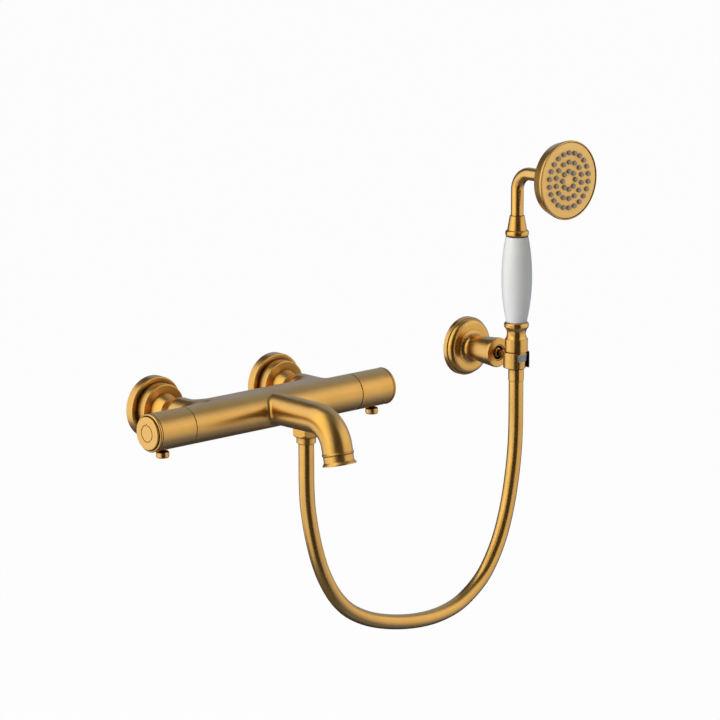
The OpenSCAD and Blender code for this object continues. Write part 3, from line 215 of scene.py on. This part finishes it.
def casting(p):
    """Distance from the casting's surface, below 0 inside it."""
    x, out, z = p[..., 0], -p[..., 1], p[..., 2]
    body_r, neck_r = np.hypot(out - REACH, z), np.hypot(np.abs(x) - NECK_X, z)
    shape = capped(body_r - BODY_R, np.abs(x) - BODY_HALF, BODY_EDGE)
    web_x = np.maximum(np.abs(x) - WEB_HALF, 0)
    web_out = np.maximum(np.maximum(WEB_BACK - out, out - REACH), 0)
    shape = np.minimum(shape, np.sqrt(web_x ** 2 + web_out ** 2 + z ** 2) - BODY_R)
    swell = np.clip((out - SWELL_START) / SWELL_LEN, 0, 1)
    swell = SWELL * swell ** 2 * (3 - 2 * swell)
    neck = capped(neck_r - NECK_R - swell, np.maximum(NECK_FRONT - out, out - NECK_END), NECK_EDGE)
    shape = fillet(shape, neck, NECK_FILLET * apart(body_r, neck_r, z))
    boss_r = np.hypot(x - OUTLET_X, out - REACH)
    boss = capped(boss_r - BOSS_R, np.maximum(z - BOSS_TOP, BOSS_END - z), BODY_EDGE)
    shape = fillet(shape, boss, BOSS_FILLET)
    spout, ring = spout_shape(x, out, z - SPOUT_LIFT)
    return np.minimum(fillet(shape, spout, SPOUT_FILLET * apart(body_r, np.hypot(x, z), z)), ring)


def slope(p, step=0.05):
    """Direction in which the distance grows."""
    return np.stack([
        casting(p + step * np.eye(3)[i]) - casting(p - step * np.eye(3)[i]) for i in range(3)
    ], axis=-1) / (2 * step)


def skin(low, high, step):
    """Points and quads of the casting's surface, from a grid, drawn onto the exact shape."""
    axes = [np.arange(a, b + step, step) for a, b in zip(low, high)]
    grid = np.stack(np.meshgrid(*axes, indexing="ij"), axis=-1)
    value = np.concatenate([casting(part) for part in np.array_split(grid, 16)])
    inside = value < 0
    nx, ny, nz = (n - 1 for n in value.shape)
    corners = [(i, j, k) for i in (0, 1) for j in (0, 1) for k in (0, 1)]
    count = sum(inside[i:i + nx, j:j + ny, k:k + nz].astype(np.int8) for i, j, k in corners)
    cells = np.argwhere((count > 0) & (count < 8))
    index = np.full((nx, ny, nz), -1)
    index[tuple(cells.T)] = np.arange(len(cells))
    total, hits = np.zeros((len(cells), 3)), np.zeros(len(cells))
    for axis in range(3):
        for j in (0, 1):
            for k in (0, 1):
                a = np.insert(np.array([j, k]), axis, 0)
                b = a + np.eye(3, dtype=int)[axis]
                va, vb = value[tuple((cells + a).T)], value[tuple((cells + b).T)]
                cross = (va < 0) != (vb < 0)
                share = np.where(cross, va / np.where(cross, va - vb, 1), 0)
                place = cells + a + share[:, None] * (b - a)
                total += np.where(cross[:, None], place, 0)
                hits += cross
    points = np.array(low) + step * total / hits[:, None]
    for _ in range(5):
        g = slope(points)
        move = casting(points)[:, None] * g / np.maximum((g ** 2).sum(1), 0.2)[:, None]
        points = points - np.clip(move, -step, step)
    quads = []
    for axis in range(3):
        u, v = [n for n in range(3) if n != axis]
        if axis == 1:
            u, v = v, u
        first = [slice(1, n) for n in (nx, ny, nz)]
        first[axis] = slice(0, (nx, ny, nz)[axis])
        second = list(first)
        second[axis] = slice(1, (nx, ny, nz)[axis] + 1)
        a, b = inside[tuple(first)], inside[tuple(second)]
        edges = np.argwhere(a != b)
        out_way = a[tuple(edges.T)]
        for n in range(3):
            if n != axis:
                edges[:, n] += 1
        du, dv = np.eye(3, dtype=int)[u], np.eye(3, dtype=int)[v]
        ring = [index[tuple((edges - s * du - t * dv).T)] for s, t in ((1, 1), (0, 1), (0, 0), (1, 0))]
        ring = np.stack(ring, axis=1)
        quads.append(np.where(out_way[:, None], ring, ring[:, ::-1]))
    return points, np.concatenate(quads)


GRID = 1.0
SKIN_LOW, SKIN_HIGH = (-105, -200, -35), (105, -27, 21)
points, quads = skin(SKIN_LOW, SKIN_HIGH, GRID)
normals = slope(points)
normals /= np.linalg.norm(normals, axis=1)[:, None]
body = mesh_object("mixer_casting", points * MM, quads.tolist(), normals)
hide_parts("mixer_body")
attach(body, "mixer")


# Materials
class Nodes:
    """Short way to build a node tree."""

    def __init__(self, name):
        self.material = bpy.data.materials.new(name)
        self.material.use_nodes = True
        self.tree = self.material.node_tree
        self.shader = self.tree.nodes["Principled BSDF"]

    def add(self, kind, inputs=(), **settings):
        node = self.tree.nodes.new("ShaderNode" + kind)
        for key, value in settings.items():
            setattr(node, key, value)
        for key, value in dict(inputs).items():
            self.put(node.inputs[key], value)
        return node

    def put(self, socket, value):
        if isinstance(value, bpy.types.NodeSocket):
            self.tree.links.new(value, socket)
        else:
            socket.default_value = value

    def math(self, operation, *values):
        node = self.add("Math", operation=operation)
        for socket, value in zip(node.inputs, values):
            self.put(socket, value)
        return node.outputs[0]

    def noise(self, vector, scale, detail=3.0, roughness=0.55):
        return self.add("TexNoise", {"Vector": vector, "Scale": scale, "Detail": detail,
                                     "Roughness": roughness}).outputs["Fac"]

    def span(self, value, low, high, from_low=0.3, from_high=0.7):
        return self.add("MapRange", {"Value": value, "From Min": from_low, "From Max": from_high,
                                     "To Min": low, "To Max": high}).outputs["Result"]

    def blend(self, share, first, second):
        node = self.add("Mix", data_type="RGBA")
        self.put(node.inputs["Factor"], share)
        self.put(node.inputs[6], first)
        self.put(node.inputs[7], second)
        return node.outputs[2]

    def bump(self, height, strength, distance, edge=None):
        node = self.add("Bump", {"Height": height, "Strength": strength, "Distance": distance})
        if edge:
            self.put(node.inputs["Normal"], self.add("Bevel", {"Radius": edge}, samples=4).outputs[0])
        self.put(self.shader.inputs["Normal"], node.outputs[0])

    def place(self):
        return self.add("TexCoord").outputs["Object"]


TONE_SCALE, SPECK_SCALE, AROUND_SCALE = 38.0, 900.0, 70.0
# Reach in metres of the painted shade that ambient occlusion puts into crevices
PAINTED_SHADE_REACH = 0.006
GOLD = ((0.90, 0.520, 0.155, 1), (0.85, 0.480, 0.135, 1))
PALE_GOLD = ((1.0, 0.640, 0.250, 1), (0.97, 0.600, 0.225, 1))


def gold(name, axis, centre, tones=GOLD, grain=5000.0, rough=(0.30, 0.32), edge=0.00035):
    """Gold brushed in circles round an axis: fine lines, slow changes of tone, soft edges, and painted shade
    that darkens the colour in crevices and between parts.
    """
    n = Nodes(name)
    place = n.place()
    shifted = n.add("VectorMath", {0: place, 1: centre}, operation="SUBTRACT").outputs[0]
    parts = n.add("SeparateXYZ", {0: shifted})
    along = parts.outputs["XYZ".index(axis)]
    others = [parts.outputs[i] for i in range(3) if i != "XYZ".index(axis)]
    radius = n.math("SQRT", n.math("ADD", n.math("POWER", others[0], 2.0), n.math("POWER", others[1], 2.0)))
    lathe = n.add("CombineXYZ", {
        "X": n.math("MULTIPLY", along, grain),
        "Y": n.math("MULTIPLY", radius, grain),
        "Z": n.math("MULTIPLY", others[0], AROUND_SCALE),
    }).outputs[0]
    lines = n.noise(lathe, 1.0, 2.0)
    tone = n.noise(place, TONE_SCALE, 4.0)
    speck = n.noise(place, SPECK_SCALE, 2.0)
    colour = n.blend(n.span(tone, 0.0, 1.0), *tones)
    # Painted shade: ambient occlusion darkens the gold's base colour in grooves, crevices and where parts
    # meet
    ao_painted_shade = n.add("AmbientOcclusion", {"Distance": PAINTED_SHADE_REACH}, samples=8).outputs["AO"]
    shade = n.math("MULTIPLY", n.span(lines, 0.993, 1.003), n.span(speck, 0.995, 1.002))
    shade = n.math("MULTIPLY", shade, n.span(ao_painted_shade, 0.04, 1.0, 0.48, 0.90))
    colour = n.add("VectorMath", {0: colour, "Scale": shade}, operation="SCALE").outputs[0]
    n.put(n.shader.inputs["Base Color"], colour)
    n.shader.inputs["Metallic"].default_value = 1.0
    n.put(n.shader.inputs["Roughness"], n.math("ADD", n.span(lines, *rough), n.span(tone, -0.02, 0.03)))
    n.bump(lines, 0.006, 0.00001, edge=edge)
    return n.material


def plain(name, light, deep, rough, scale, bump, metallic=0.0, coat=0.0, edge=None):
    """Plastic, rubber, ceramic or bare metal: two close tones, uneven gloss and a fine texture."""
    n = Nodes(name)
    place = n.place()
    tone = n.noise(place, 45.0, 4.0)
    fine = n.noise(place, scale, 3.0)
    share = n.math("ADD", n.span(tone, 0.0, 0.6), n.span(fine, 0.0, 0.4))
    n.put(n.shader.inputs["Base Color"], n.blend(share, light, deep))
    n.put(n.shader.inputs["Roughness"], n.span(fine, *rough))
    n.shader.inputs["Metallic"].default_value = metallic
    n.shader.inputs["Coat Weight"].default_value = coat
    n.shader.inputs["Coat Roughness"].default_value = 0.12
    n.bump(fine, bump, 0.00005, edge)
    return n.material


# Places, in millimetres, of the axes that the brushing goes round
HEAD_Z, BRACKET_Z, PIN_X = 186.8, -1, -130
TIP_Y, TIP_Z = -190, -40
HOSE_MIDDLE = (190, -80, -100)


def at(x, y, z):
    """Place in metres from one in millimetres."""
    return (x * MM, y * MM, z * MM)


gold_body = gold("gold_body", "X", at(0, OUTLET_Y, 0))
gold_left = gold("gold_left_rosette", "Y", at(-NECK_X, 0, 0))
gold_right = gold("gold_right_rosette", "Y", at(NECK_X, 0, 0))
gold_spout = gold("gold_spout", "Y", at(0, TIP_Y, TIP_Z))
gold_outlet = gold("gold_outlet", "Z", at(OUTLET_X, OUTLET_Y, 0))
gold_bracket = gold("gold_bracket", "Y", at(HANDSET_X, 0, BRACKET_Z), rough=(0.24, 0.27))
gold_handset = gold("gold_handset", "Z", at(HANDSET_X, HANDSET_Y, 0), rough=(0.22, 0.25))
gold_head = gold("gold_head", "Y", at(HANDSET_X, HANDSET_Y, HEAD_Z))
gold_face = gold("gold_spray_face", "Y", at(HANDSET_X, HANDSET_Y, HEAD_Z), PALE_GOLD, rough=(0.34, 0.37))
gold_pins = gold("gold_pins", "Z", at(PIN_X, OUTLET_Y, 0), rough=(0.22, 0.30))
gold_hose = gold("gold_hose", "Z", at(*HOSE_MIDDLE), rough=(0.24, 0.28), edge=None)
brass = plain("bare_brass", (0.62, 0.46, 0.22, 1), (0.50, 0.36, 0.16, 1),
              (0.28, 0.42), 700.0, 0.12, metallic=1.0, edge=0.0003)
steel = plain("zinc_steel", (0.62, 0.63, 0.65, 1), (0.48, 0.49, 0.51, 1),
              (0.25, 0.40), 700.0, 0.12, metallic=1.0, edge=0.0003)
white_plastic = plain("white_plastic", (0.80, 0.80, 0.78, 1), (0.74, 0.74, 0.71, 1),
                      (0.38, 0.52), 1200.0, 0.15)
grey_plastic = plain("grey_plastic", (0.34, 0.285, 0.24, 1), (0.25, 0.205, 0.17, 1),
                     (0.28, 0.40), 1200.0, 0.12)
nozzle_grey = plain("nozzle_grey", (0.60, 0.52, 0.44, 1), (0.46, 0.39, 0.32, 1),
                    (0.26, 0.36), 1200.0, 0.10)
grey_band = plain("grey_band", (0.50, 0.50, 0.49, 1), (0.44, 0.44, 0.43, 1),
                  (0.30, 0.42), 1500.0, 0.10)
rubber = plain("seal_rubber", (0.030, 0.030, 0.030, 1), (0.018, 0.018, 0.018, 1),
               (0.55, 0.75), 900.0, 0.25)
ceramic = plain("white_ceramic", (0.80, 0.80, 0.79, 1), (0.77, 0.77, 0.76, 1),
                (0.16, 0.22), 260.0, 0.04, coat=0.35)

by_slot = {"raw_brass": brass, "steel": steel, "white_plastic": white_plastic, "grey_plastic": grey_plastic,
           "grey_band": grey_band, "seal_rubber": rubber, "ceramic": ceramic, "gold_finish": gold_body,
           "hose_sheath": gold_hose}
finish = {part["node"]: by_slot[part["material_slot"]] for part in frame["record"]["subparts"]}
finish.update({"left_rosette": gold_left, "right_rosette": gold_right, "neck_sleeves": gold_left,
               "aerator_housing": gold_spout, "hose_hex_nut": gold_outlet, "hose_lower_ferrule": gold_outlet,
               "flow_grip_pin": gold_pins, "temperature_grip_pin": gold_pins})
finish.update(dict.fromkeys(("bracket_rosette", "bracket_stem", "knuckle_retainer"), gold_bracket))
finish.update(dict.fromkeys(("holder_cradle", "cone_nut", "handset_tail", "upper_collar", "gooseneck",
                             "hose_upper_ferrule"), gold_handset))
finish.update({"head_shell": gold_head, "spray_plate": gold_face, "nozzle_mat": nozzle_grey})
for name, obj in nodes.items():
    obj.data.materials.clear()
    obj.data.materials.append(finish[name])
body.data.materials.append(gold_body)
hose_main.data.materials.append(gold_hose)
hose_upper.data.materials.append(gold_hose)


# Studio: pale floor, white surroundings, soft lamps and cards that only show as reflections
def seen_share(tree):
    """1 for what the camera, metal or glass sees, and 0 for light that falls on the object."""
    path = tree.nodes.new("ShaderNodeLightPath")
    total = None
    for ray in ("Is Camera Ray", "Is Glossy Ray", "Is Transmission Ray"):
        if total is None:
            total = path.outputs[ray]
            continue
        most = tree.nodes.new("ShaderNodeMath")
        most.operation = "MAXIMUM"
        tree.links.new(total, most.inputs[0])
        tree.links.new(path.outputs[ray], most.inputs[1])
        total = most.outputs[0]
    return total


world = bpy.data.worlds.new("studio")
scene.world = world
world.use_nodes = True
tree = world.node_tree
tree.nodes.clear()
white = tree.nodes.new("ShaderNodeBackground")
white.inputs["Strength"].default_value = 1.0
fill = tree.nodes.new("ShaderNodeBackground")
fill.inputs["Color"].default_value = (0.96, 0.98, 1.0, 1)
fill.inputs["Strength"].default_value = 0.30
mix = tree.nodes.new("ShaderNodeMixShader")
tree.links.new(seen_share(tree), mix.inputs[0])
tree.links.new(fill.outputs[0], mix.inputs[1])
tree.links.new(white.outputs[0], mix.inputs[2])
tree.links.new(mix.outputs[0], tree.nodes.new("ShaderNodeOutputWorld").inputs[0])

FLOOR_Z, FLOOR_HALF = -0.62, 20
corners = [(x * FLOOR_HALF, y * FLOOR_HALF, FLOOR_Z) for x, y in ((-1, -1), (1, -1), (1, 1), (-1, 1))]
floor = mesh_object("floor", corners, [(0, 1, 2, 3)])
n = Nodes("pale_floor")
n.shader.inputs["Base Color"].default_value = (0.93, 0.93, 0.93, 1)
n.put(n.shader.inputs["Roughness"], n.span(n.noise(n.place(), 3.0), 0.85, 0.95))
glow = n.add("Emission", {"Strength": 1.0})
share = n.math("MULTIPLY", seen_share(n.tree), 0.97)
both = n.add("MixShader", {0: share, 1: n.shader.outputs[0], 2: glow.outputs[0]})
n.tree.links.new(both.outputs[0], n.tree.nodes["Material Output"].inputs[0])
floor.data.materials.append(n.material)
floor.visible_glossy = False

FRONT = Vector((-math.sin(AZIMUTH), -math.cos(AZIMUTH), 0))
RIGHT = Vector((math.cos(AZIMUTH), -math.sin(AZIMUTH), 0))
UP = Vector((0, 0, 1))


def toward(angle):
    """Level direction, with the angle counted to the right from the camera."""
    a = math.radians(angle)
    return FRONT * math.cos(a) + RIGHT * math.sin(a)


CARD_REACH, CARD_STEP = 2.4, 10


def card(name, left, right, low, high, colour):
    """Glowing patch of a sphere between two directions and two heights in degrees, for reflections alone."""
    columns = max(1, round((right - left) / CARD_STEP))
    rows = max(1, round((high - low) / CARD_STEP))
    points, faces = [], []
    for i in range(rows + 1):
        height = math.radians(low + (high - low) * i / rows)
        for k in range(columns + 1):
            way = toward(left + (right - left) * k / columns)
            points.append(AIM + CARD_REACH * (way * math.cos(height) + UP * math.sin(height)))
    for i in range(rows):
        for k in range(columns):
            a = i * (columns + 1) + k
            faces.append((a, a + 1, a + columns + 2, a + columns + 1))
    obj = mesh_object(name, points, faces)
    n = Nodes(name)
    glow = n.add("Emission", {"Color": (*colour, 1), "Strength": 1.0})
    n.tree.links.new(glow.outputs[0], n.tree.nodes["Material Output"].inputs[0])
    obj.data.materials.append(n.material)
    for ray in ("camera", "diffuse", "transmission", "volume_scatter", "shadow"):
        setattr(obj, "visible_" + ray, False)


DARK, DIM, COOL = (0.045, 0.040, 0.032), (0.11, 0.12, 0.14), (0.30, 0.39, 0.60)
# low edge, high edge and colour of each band of the card on the right
RIGHT_BANDS = [
    (-90, -42, (0.17, 0.21, 0.34)), (-42, -30, (0.36, 0.38, 0.52)), (-30, -18, (0.54, 0.54, 0.62)),
    (-18, -4, (0.74, 0.73, 0.66)), (-4, 10, (0.79, 0.76, 0.67)), (10, 26, (0.92, 0.88, 0.76)),
    (26, 40, (0.86, 0.85, 0.84)), (40, 52, (0.55, 0.57, 0.66)),
]
card("card_front", -22, 46, -48, 64, DARK)
card("card_top", -42, 265, 64, 90, DIM)
card("card_top_right", 46, 125, 52, 64, (0.22, 0.22, 0.22))
for low, high, colour in RIGHT_BANDS:
    card("card_right", 46, 125, low, high, colour)
card("card_back", 125, 195, -12, 64, COOL)
card("card_left_back", 195, 238, -14, 64, (0.07, 0.065, 0.06))
card("card_below_back", 125, 230, -90, -14, (0.05, 0.06, 0.09))
card("card_below_left", 230, 275, -90, -32, DIM)
card("card_below_front", -85, 46, -90, -48, DIM)
card("card_left", -82, -42, -12, 72, (1.30, 1.28, 0.80))
card("card_far_left", -112, -82, -24, 72, (0.96, 1.02, 1.15))


LAMP_AIM = Vector((0.18, -0.07, 0.0))


def lamp(name, place, size, watts):
    """Soft round lamp turned to the middle of the part."""
    light = bpy.data.lights.new(name, "AREA")
    light.shape, light.size, light.energy = "DISK", size, watts
    obj = bpy.data.objects.new(name, light)
    scene.collection.objects.link(obj)
    obj.location = place
    obj.rotation_mode = "QUATERNION"
    obj.rotation_quaternion = (LAMP_AIM - place).to_track_quat("-Z", "Y")
    obj.visible_glossy = False


lamp("lamp_left", AIM + toward(-65) * 1.7 + UP * 0.7, 1.1, 26)
lamp("lamp_top", AIM + toward(-10) * 0.6 + UP * 1.9, 1.4, 6)
